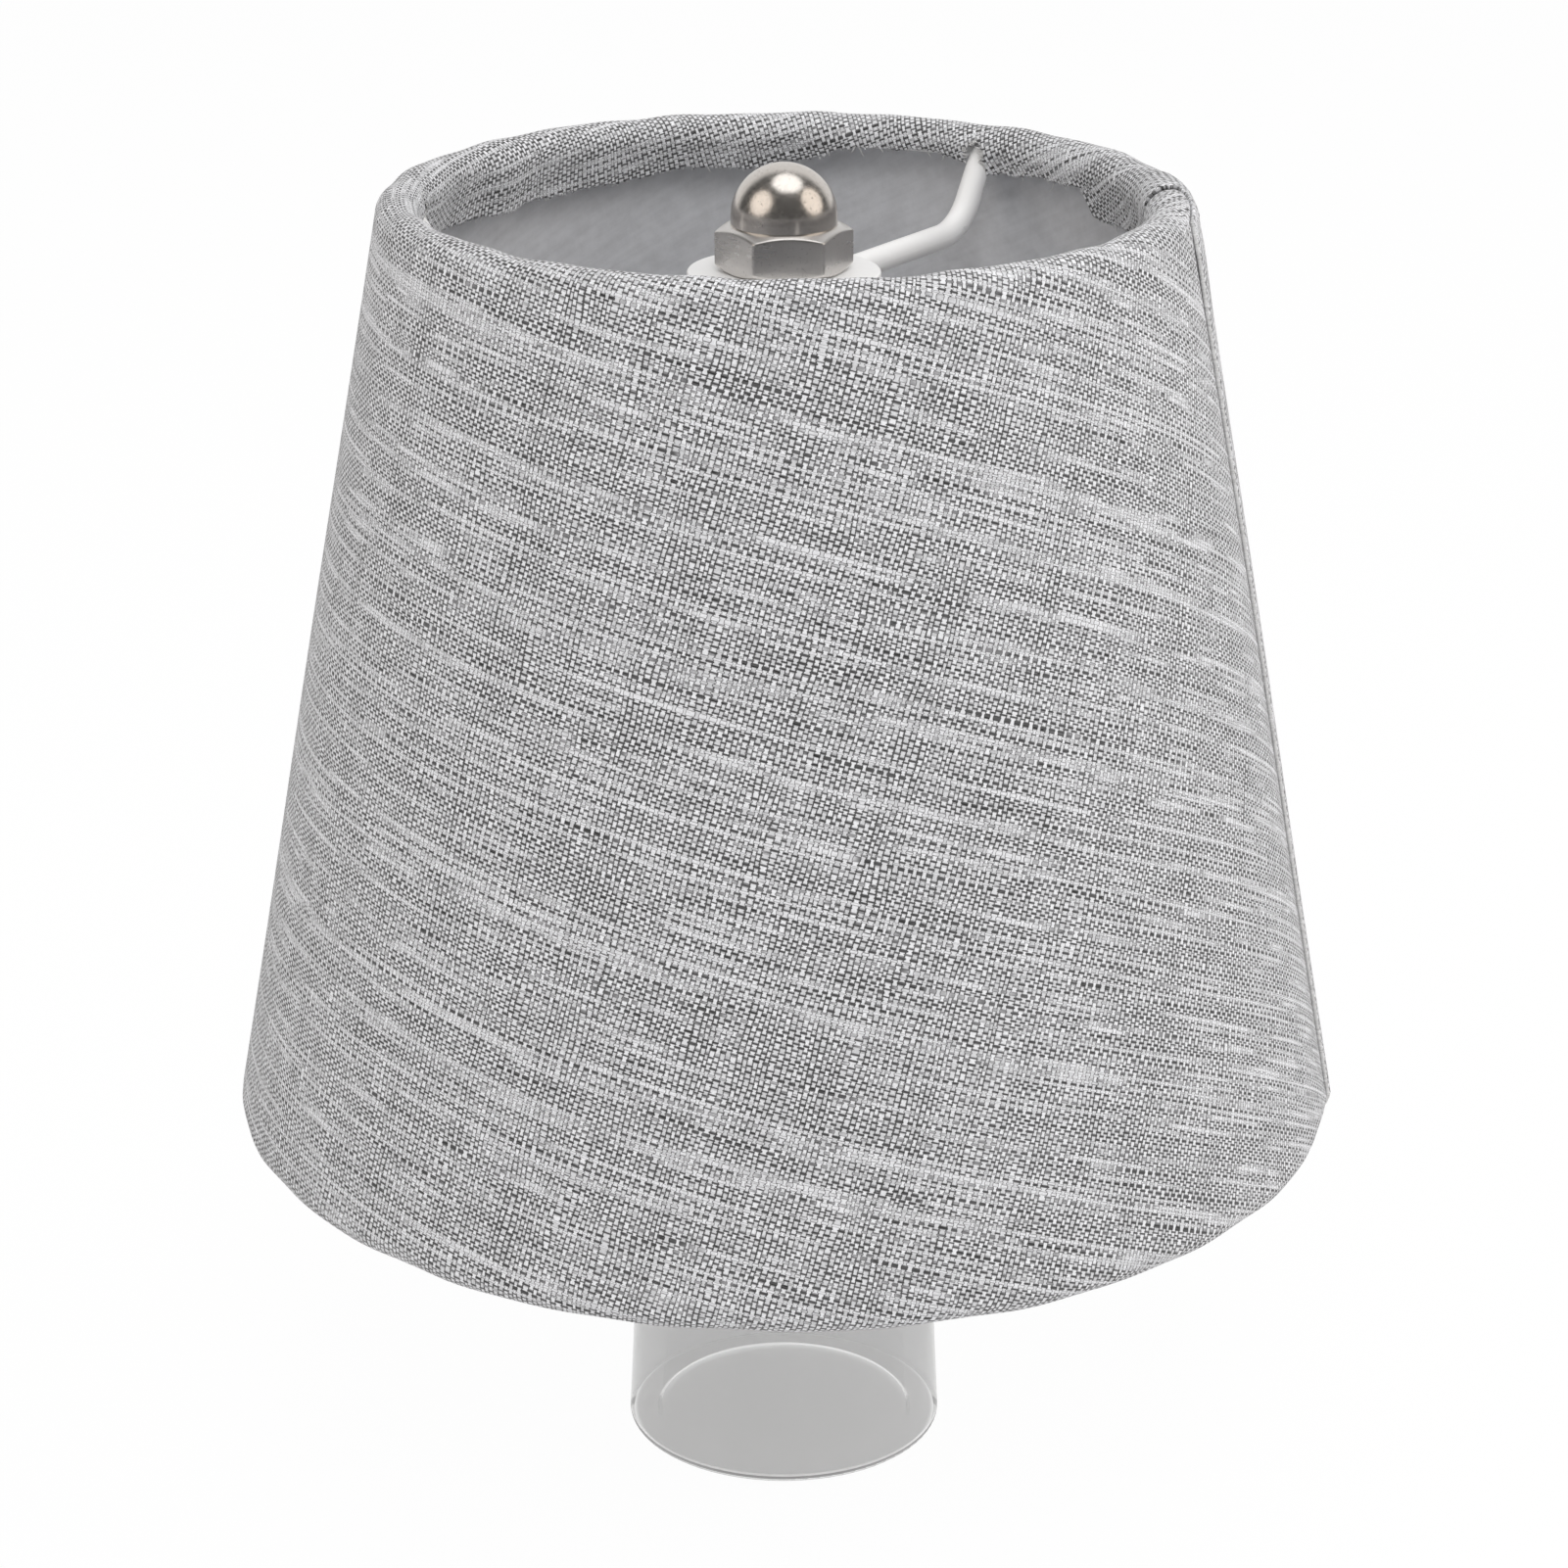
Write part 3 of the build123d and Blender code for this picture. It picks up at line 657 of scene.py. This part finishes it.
# cloth cover: one sheet that starts at the seam, goes round, and ends under its own first edge
cover = {
    # degrees round from +X, and the step back over the roll
    "seamTop": -12.4, "seamBottom": -7.0, "seamStep": 12.4,
    "stepFrom": (0.4, 3.1), "stepReach": 0.9,  # mm past the wall, radians beside the seam
    "middleAt": 186.0,  # degrees, where the middle of the cut cloth lies
    "lap": 10.0, "lapRadius": 60.0, "lapLift": 0.58, "lapBulge": 0.12,  # mm
    "lapEdge": (0.85, 0.15, 0.5),  # share of the lift at the edge, the rest, and mm to there
    "lapEnd": (1.7, 1.05), "bulgeEnd": (2.4, 1.3),  # laps from the seam
    "bulgeBelow": (13.0, 5.0), "bulgeAbove": (0.5, 4.0),  # mm under the top of the wall
    "rollBulge": 0.35, "rollStart": (-8.0, -3.0), "rollEnd": (-0.2, -1.8),  # mm from the seam
    "seamShade": (0.12, 0.2), "seamOver": (0.5, -3.0),  # mm of painted shade beside the seam, on the wall and over the roll
    # edgeShade turns the lap's cut edge over the roll into painted shade
    "seamSharp": 0.3, "edgeShade": 1.35,
    "thickness": 0.5, "hemGap": 0.05, "hemSoft": 3.0,  # mm, mm, how sharply it meets the lining
    "columns": 1100, "leastStep": 3e-4, "midRadius": (30, 80),  # radians, mm
    "seamColumns": ((0, 0.03, 36), (-0.045, 0.012, 56)),  # closer beside the seam
    "bottomRows": 34, "wallRows": 60, "topRows": (15, 47), "topClose": 0.12,
    "topLean": 8.0, "bottomLean": 20.6,  # degrees
    # how far the inner edge hangs below the top roll: degrees, mm
    "topHem": ((-16, 5.5), (27, 5.5), (30.5, 5.2), (32, 1.2), (42, 1.6), (53, 2.3), (55.5, 2.8),
               (58, 0.7), (63, 0.2), (80, 0.3), (87, 2.4), (97, 3.5), (107, 3.0), (113, 4.2),
               (131, 5.1), (146, 5.8), (170, 5.4), (360, 5.2)),
    "bottomHem": 10.0, "ragged": 0.38,  # mm
    # waves round the lamp, share of ragged, mm of jitter
    "topRagged": ((19, 31, 47, 83), 0.6, 0.14), "bottomRagged": ((1, 2, 4, 7, 12), 2.5, 0.1),
    "armAt": (56.0, 176.0, 296.0), "slitHalf": 1.75, "slitAbove": 3.6,  # degrees, mm
    "slitLeast": 0.14, "slitJag": 0.1,  # mm
    "slitFrom": 0.75, "slitTo": -0.6,  # share of slitAbove, mm past the roll
    "gape": 0.5, "gapeBeside": (4.5, 1.2), "gapeAbove": (-3.5, 0.0),  # mm
    "pucker": 0.28, "puckerWaves": (7, 11, 17, 23, 29),  # mm, waves round the lamp
    "puckerFrom": (-4.0, 2.0), "puckerLeast": -0.15,  # mm past the roll, mm
    "rollPucker": 0.4, "rollWaves": (13, 19, 31),
    "wallWave": 0.10, "wallWaves": ((3, 21.0), (5, 33.0)),  # waves round, mm of height
    "seed": 11,
}


def ringSection(name):
    low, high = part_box(name)
    wire = (high.z - low.z) / 2
    return np.array([high.x - wire, (low.z + high.z) / 2]) / mm, wire / mm


def waves(rng, turn, counts, size):
    # smooth random wander round the lamp
    total = np.zeros_like(turn)
    for count in counts:
        total += rng.normal() * np.sin(count * turn + rng.uniform(0, fullTurn))
    return total * size / math.sqrt(len(counts))


def placeOnCloth(obj, places):
    spot = obj.data.attributes.new("clothPlace", "FLOAT_VECTOR", "POINT")
    spot.data.foreach_set("vector", np.asarray(places, np.float32).ravel())


def buildCover():
    rng = np.random.default_rng(cover["seed"])
    topAt = ringSection("top_ring")[0]
    bottomAt, wire = ringSection("bottom_ring")
    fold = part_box("shade_cover")[1].z / mm - topAt[1]  # ring centre to the cloth's face
    wallLength = np.linalg.norm(topAt - bottomAt)
    slope = (topAt - bottomAt) / wallLength
    outward = np.array([slope[1], -slope[0]])
    sinCone = -slope[0]
    slantTop = (topAt[0] + outward[0] * fold) / sinCone
    slantBottom = slantTop + wallLength
    flatAt = wire - cover["hemGap"] - cover["thickness"]  # the hem lies against the lining

    lapTurn = cover["lap"] / cover["lapRadius"]
    afterSeam, beforeSeam = (np.linspace(*span) for span in cover["seamColumns"])
    turn = np.unique(np.concatenate([np.linspace(0, fullTurn + lapTurn, cover["columns"]),
                                     afterSeam, fullTurn + beforeSeam]))
    turn = turn[np.concatenate([[True], np.diff(turn) > cover["leastStep"]])]
    count = len(turn)
    stepReach = cover["stepReach"]
    nearSeam = smoothStep(stepReach, 0.0, turn) + smoothStep(-stepReach, 0.0, turn - fullTurn)
    hemAt, hemRun = np.array(cover["topHem"]).T
    degreesAt = np.degrees(turn) + cover["seamTop"] + cover["seamStep"] * nearSeam
    topHem = np.interp(degreesAt, hemAt, hemRun)
    counts, share, jitter = cover["topRagged"]
    topHem += waves(rng, turn, counts, cover["ragged"] * share) + rng.normal(0, jitter, count)
    counts, share, jitter = cover["bottomRagged"]
    bottomHem = cover["bottomHem"] + waves(rng, turn, counts, cover["ragged"] * share)
    bottomHem = bottomHem + rng.normal(0, jitter, count)

    def roundRing(lean, past):
        # past: mm along the cloth from the end of the wall, over the roll and down the hem
        arc = math.pi + lean
        angle = np.minimum(past / fold, arc)
        run = np.maximum(past - fold * arc, 0)
        free = fold * np.cos(angle) + run * math.sin(lean)
        soft = cover["hemSoft"]
        held = flatAt - np.log1p(np.exp((flatAt - free) * soft)) / soft
        out = np.where(run > 0, held, free)
        return out, fold * np.sin(angle) - run * math.cos(lean), np.cos(angle), np.sin(angle)

    # rows from the bottom hem up the wall to the top hem
    bottomShares = np.linspace(1, 0, cover["bottomRows"])[:-1]
    closeRows, wideRows = cover["topRows"]
    topShares = np.concatenate([np.linspace(0, cover["topClose"], closeRows)[1:],
                                np.linspace(cover["topClose"], 1, wideRows)[1:]])
    stretches = (
        (-1, bottomAt, -slope, math.radians(cover["bottomLean"]), bottomHem, bottomShares),
        (0, bottomAt, slope, 0.0, None, np.linspace(0, 1, cover["wallRows"])),
        (1, topAt, slope, math.radians(cover["topLean"]), topHem, topShares))
    beforeRoll = -99.0  # on the wall, far from both hems
    rows = []
    for end, ring, along, lean, hem, shares in stretches:
        rollLength = fold * (math.pi + lean)
        for share in shares:
            if end == 0:
                past = np.full(count, wallLength * share)
                out, over = np.full(count, fold), past
                faceOut, faceOver = np.ones(count), np.zeros(count)
                slant, run = slantBottom - past, np.full(count, beforeRoll)
                seamShare, step = share, 0.0
            else:
                past = share * (rollLength + hem)
                out, over, faceOut, faceOver = roundRing(lean, past)
                slant = (slantTop - past) if end > 0 else (slantBottom + past)
                run, seamShare = past - rollLength, float(end > 0)
                step = cover["seamStep"] * smoothStep(*cover["stepFrom"], past) * seamShare
            place = ring + np.outer(out, outward) + np.outer(over, along)
            face = np.outer(faceOut, outward) + np.outer(faceOver, along)
            seam = cover["seamBottom"] + (cover["seamTop"] - cover["seamBottom"]) * seamShare ** 2
            at = turn + np.radians(seam + step * nearSeam)
            rows.append((place[:, 0], place[:, 1], face[:, 0], face[:, 1],
                         slant, run, np.full(count, end), at))
    grids = (np.array(part) for part in zip(*rows))
    radius, height, faceOut, faceUp, slant, pastRoll, end, azimuth = grids

    # lift along the normal: the lap, the bulge before the seam, puckers and a slight wave
    mid = np.clip(radius, *cover["midRadius"])  # for lengths round the lamp
    fromSeam = turn * mid
    toSeam = (turn - fullTurn) * mid
    onTop = end > 0
    down = slant - slantTop  # mm below the top of the wall
    edgeShare, restShare, edgeRun = cover["lapEdge"]
    lapStart, lapStop = (lapTurn * laps for laps in cover["lapEnd"])
    bulgeStart, bulgeStop = (lapTurn * laps for laps in cover["bulgeEnd"])
    lift = cover["lapLift"] * (edgeShare + restShare * smoothStep(0, edgeRun, fromSeam))
    lift = lift * smoothStep(lapStart, lapStop, turn)
    lift += (cover["lapBulge"] * smoothStep(bulgeStart, bulgeStop, turn)
             * smoothStep(*cover["bulgeBelow"], down) * smoothStep(*cover["bulgeAbove"], down))
    lift += (cover["rollBulge"] * onTop
             * smoothStep(*cover["rollStart"], toSeam) * smoothStep(*cover["rollEnd"], toSeam))
    hung = (end != 0) * smoothStep(*cover["puckerFrom"], pastRoll)
    pucker = waves(rng, azimuth, cover["puckerWaves"], cover["pucker"]) * hung
    rollSize = cover["pucker"] * cover["rollPucker"]
    pucker += (end != 0) * waves(rng, azimuth, cover["rollWaves"], rollSize)
    lift += np.maximum(pucker, cover["puckerLeast"])
    (firstCount, firstRise), (otherCount, otherRise) = cover["wallWaves"]
    lift += (cover["wallWave"] * np.sin(firstCount * azimuth + slant / firstRise)
             * np.sin(otherCount * azimuth - slant / otherRise))

    # the hem is slit for each arm, and gapes there
    keep = np.ones((len(rows) - 1, count - 1), bool)
    jag = rng.normal(0, cover["slitJag"], (len(rows), 2))
    least, above = cover["slitLeast"], cover["slitAbove"]
    for armAt in cover["armAt"]:
        side = ((math.radians(armAt) - azimuth + math.pi) % fullTurn - math.pi) * mid
        lift += (onTop * cover["gape"] * smoothStep(*cover["gapeBeside"], np.abs(side))
                 * smoothStep(*cover["gapeAbove"], pastRoll))
        opens = smoothStep(-above * cover["slitFrom"], cover["slitTo"], pastRoll)
        slit = least + (cover["slitHalf"] - least) * opens
        slit = slit + np.where(side < 0, jag[:, :1], jag[:, 1:])
        cut = onTop & (pastRoll > -above) & (np.abs(side) < slit)
        keep &= ~(cut[:-1, :-1] & cut[1:, 1:] & cut[:-1, 1:] & cut[1:, :-1])

    radius = radius + lift * faceOut
    height = height + lift * faceUp
    points = np.stack([radius * np.cos(azimuth), radius * np.sin(azimuth), height], axis=-1) * mm
    obj = addMesh("cloth_cover", points, gridFaces(len(rows), count, keep=keep))

    # place on the flat cut, in mm, which points lie on a raw edge, and painted shade beside the
    # seam
    spread = (azimuth - math.radians(cover["middleAt"])) * sinCone
    raw = np.zeros_like(slant)
    overRoll = smoothStep(*cover["seamOver"], down)
    # over the roll the lap's first edge goes below 0, as painted shade
    raw[:, 0] = 1.0 - cover["edgeShade"] * overRoll[:, 0]
    raw[:, -1] = 1.0
    onWall, onRoll = cover["seamShade"]
    wide = onWall + (onRoll - onWall) * overRoll
    # below 0: painted shade beside the seam
    raw -= smoothStep(wide, wide * cover["seamSharp"], np.abs(toSeam))
    flat = np.stack([slant * np.sin(spread), slant * np.cos(spread), raw], axis=-1)
    placeOnCloth(obj, flat)

    body = obj.modifiers.new("cloth thickness", "SOLIDIFY")
    body.thickness = cover["thickness"] * mm
    body.offset = -1.0
    paint(obj, clothMat)
    slantEnds = (slant[-1].mean(), slant[0].mean())
    return obj, points, flat, keep, slantEnds, (fullTurn + lapTurn) * sinCone


clothObj, clothPoints, clothFlat, clothKeep, slantEnds, flatTurn = buildCover()
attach(clothObj, "shade")
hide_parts("shade_cover")
print("cloth cover:", len(clothObj.data.vertices), "points")

# loose yarn ends along the raw edges
fray = {
    "pitch": 0.585, "margin": 1.0, "length": (0.2, 0.75),  # mm
    "long": 0.02, "longLength": (1.2, 2.0),  # share of long ones, mm
    "slitShare": 0.8, "slitLength": (0.3, 1.0),
    "thickness": 0.15, "taper": 0.6, "sides": 4, "steps": 3,
    "bendAcross": 0.55, "bendIn": 0.35, "bendShare": 0.6,
    "setBack": 0.3, "setOut": 0.2,  # mm from the cut edge, and into the cloth
    "seed": 5,
}


def buildFray():
    rng = np.random.default_rng(fray["seed"])
    points, faces, places = [], [], []
    sides, steps = fray["sides"], fray["steps"]

    def inwardNormal(first, second, root):
        normalAt = unit(np.cross(first, second))
        return -normalAt if np.dot(normalAt[:2], root[:2]) > 0 else normalAt  # into the shade

    def yarnEnd(root, run, normalAt, flatAt, length):
        across = np.cross(run, normalAt)
        bend = rng.normal(0, fray["bendAcross"]) * across
        bend = bend + abs(rng.normal(0, fray["bendIn"])) * normalAt
        start = len(points)
        for step in range(steps + 1):
            share = step / steps
            centre = root + (run * share + bend * share * share * fray["bendShare"]) * length * mm
            thick = fray["thickness"] * mm * (1.0 - fray["taper"] * share)
            for side in range(sides):
                angle = fullTurn * side / sides
                spoke = across * math.cos(angle) + normalAt * math.sin(angle)
                points.append(centre + spoke * thick)
                places.append((flatAt[0], flatAt[1] - length * share, 1.0))
        for step in range(steps):
            for side in range(sides):
                beside = (side + 1) % sides
                a = start + step * sides
                faces.append((a + side, a + beside, a + sides + beside, a + sides + side))
        faces.append(tuple(start + steps * sides + side for side in range(sides)))

    # ends that hang from the two hems: row of points, the row before it, row of faces
    last = clothPoints.shape[0] - 1
    for edge, inner, face in ((last, last - 1, last - 1), (0, 1, 0)):
        reach = np.cumsum(np.linalg.norm(np.diff(clothPoints[edge], axis=0), axis=1)) / mm
        spots = np.arange(fray["margin"], reach[-1] - fray["margin"], fray["pitch"])
        for column in np.unique(np.searchsorted(reach, spots)):
            if not clothKeep[face, column]:
                continue
            root = clothPoints[edge, column]
            run = unit(root - clothPoints[inner, column])
            beside = clothPoints[edge, column + 1] - clothPoints[edge, column - 1]
            normalAt = inwardNormal(beside, run, root)
            span = fray["longLength"] if rng.random() < fray["long"] else fray["length"]
            length = rng.uniform(*span)
            root = root - run * fray["setBack"] * mm - normalAt * fray["setOut"] * mm
            yarnEnd(root, run, normalAt, clothFlat[edge, column], length)

    # ends that cross the slits
    for row, column in zip(*np.nonzero(~clothKeep)):
        for beside in (column - 1, column + 1):
            if clothKeep[row, beside] and rng.random() < fray["slitShare"]:
                toward = 1 if beside < column else -1
                rootColumn = column if toward > 0 else column + 1
                root = clothPoints[row, rootColumn]
                run = unit(clothPoints[row, rootColumn + toward] - root)
                normalAt = inwardNormal(run, clothPoints[row + 1, rootColumn] - root, root)
                length = rng.uniform(*fray["slitLength"])
                root = root - normalAt * fray["setOut"] * mm
                yarnEnd(root, run, normalAt, clothFlat[row, rootColumn], length)
    obj = addMesh("hem_fray", np.array(points), faces)
    placeOnCloth(obj, places)
    return paint(obj, clothMat)


frayObj = buildFray()
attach(frayObj, "shade")

# floor, world and lamps
studio = {
    "floorSize": 6.0, "floorDrop": 0.0001,  # m
    "floorTone": 0.92, "floorGlow": 0.97, "floorRough": 0.9,
    "grainScale": 300.0, "grainShare": 0.99,
    # painted shadow: the floor is dimmer inside the sleeve: mm from the axis, and mm back
    "cupShadowGlow": 0.48, "cupShadowRadius": (19.4, 19.9), "cupShadowShift": 0.5,
    "ambient": 0.60,
    # the room in front and above, as metal shows it; the backdrop is white
    "roomDim": 0.12, "roomBack": (0.35, 0.65),
    "aimHeight": 0.11,  # m, where the lamps point
}
whiteLight, warmLight = (1.0, 1.0, 1.0), (1.07, 0.985, 0.90)
lamps = {
    "overheadLamp": {"place": (0.1, -0.03, 1.15), "size": 0.95, "power": 3.3,
                     "tint": whiteLight, "inMetal": True},
    "rightLamp": {"place": (0.894, -0.207, 0.672), "size": 0.95, "power": 2.3,
                  "tint": warmLight, "inMetal": True},
    "leftLamp": {"place": (-0.795, -0.434, 0.69), "size": 0.95, "power": 2.3,
                 "tint": warmLight, "inMetal": True},
    "frontLamp": {"place": (0.06, -0.75, 0.85), "size": 0.5, "power": 3.0,
                  "tint": whiteLight, "inMetal": False},
    "rearLamp": {"place": (0.95, 0.25, 0.6), "size": 0.6, "power": 2.4,
                 "tint": whiteLight, "inMetal": False},
}


def floorFinish():
    mat, tree, skin = newFinish("paleFloor")
    out = skin.outputs["BSDF"].links[0].to_node
    grain = noise(tree, ownPlace(tree), studio["grainScale"])
    tone = studio["floorTone"]
    base = blendColor(tree, grain, gray(tone * studio["grainShare"]), gray(tone))
    plug(tree, base, skin.inputs["Base Color"])
    setSockets(skin, {"Roughness": studio["floorRough"], "Specular IOR Level": 0.0})
    x, y = splitXyz(tree, ownPlace(tree))[:2]
    # painted shadow: the floor's glow drops inside the sleeve's footprint
    radius = fromAxis(tree, x, minus(tree, y, studio["cupShadowShift"] * mm))
    near, far = studio["cupShadowRadius"]
    shineWithCupShadow = ramp(tree, radius, near * mm, far * mm, studio["cupShadowGlow"], studio["floorGlow"])
    glow = tree.nodes.new("ShaderNodeEmission")
    mix = tree.nodes.new("ShaderNodeMixShader")
    seen = seenRays(tree)[1]
    plug(tree, times(tree, seen, shineWithCupShadow), mix.inputs[0])
    tree.links.new(skin.outputs["BSDF"], mix.inputs[1])
    tree.links.new(glow.outputs[0], mix.inputs[2])
    # seen from below the floor is clear
    under = tree.nodes.new("ShaderNodeMixShader")
    tree.links.new(tree.nodes.new("ShaderNodeNewGeometry").outputs["Backfacing"], under.inputs[0])
    tree.links.new(mix.outputs[0], under.inputs[1])
    tree.links.new(tree.nodes.new("ShaderNodeBsdfTransparent").outputs[0], under.inputs[2])
    tree.links.new(under.outputs[0], out.inputs["Surface"])
    return mat


def buildWorld():
    world = bpy.data.worlds.new("studio")
    bpy.context.scene.world = world
    world.use_nodes = True
    tree = world.node_tree
    tree.nodes.clear()
    out = tree.nodes.new("ShaderNodeOutputWorld")
    sky = tree.nodes.new("ShaderNodeBackground")
    rays, seen = seenRays(tree)
    toward = tree.nodes.new("ShaderNodeTexCoord").outputs["Generated"]
    back = splitXyz(tree, toward)[1]
    dim = ramp(tree, back, *studio["roomBack"], 1.0 - studio["roomDim"], 0.0)
    dim = times(tree, dim, rays["Is Glossy Ray"])
    white = ramp(tree, seen, 0.0, 1.0, studio["ambient"], 1.0, "LINEAR")
    plug(tree, minus(tree, white, dim), sky.inputs["Strength"])
    tree.links.new(sky.outputs[0], out.inputs["Surface"])


def addLamp(name, spec):
    data = bpy.data.lights.new(name, "AREA")
    data.shape = "DISK"
    data.size = spec["size"]
    data.energy = spec["power"]
    data.color = spec["tint"]
    lamp = bpy.data.objects.new(name, data)
    lamp.location = spec["place"]
    aim = np.array([0, 0, studio["aimHeight"]]) - np.array(spec["place"])
    level = math.hypot(aim[0], aim[1])
    lamp.rotation_euler = (math.atan2(level, -aim[2]), 0, math.atan2(-aim[0], aim[1]))
    lamp.visible_glossy = spec["inMetal"]
    bpy.context.scene.collection.objects.link(lamp)


half = studio["floorSize"] / 2
corners = [(-half, -half, 0), (half, -half, 0), (half, half, 0), (-half, half, 0)]
floor = addMesh("floor", corners, [(0, 1, 2, 3)])
floor.location.z = -studio["floorDrop"]
paint(floor, floorFinish())
buildWorld()
for name, spec in lamps.items():
    addLamp(name, spec)
print("studio ready")
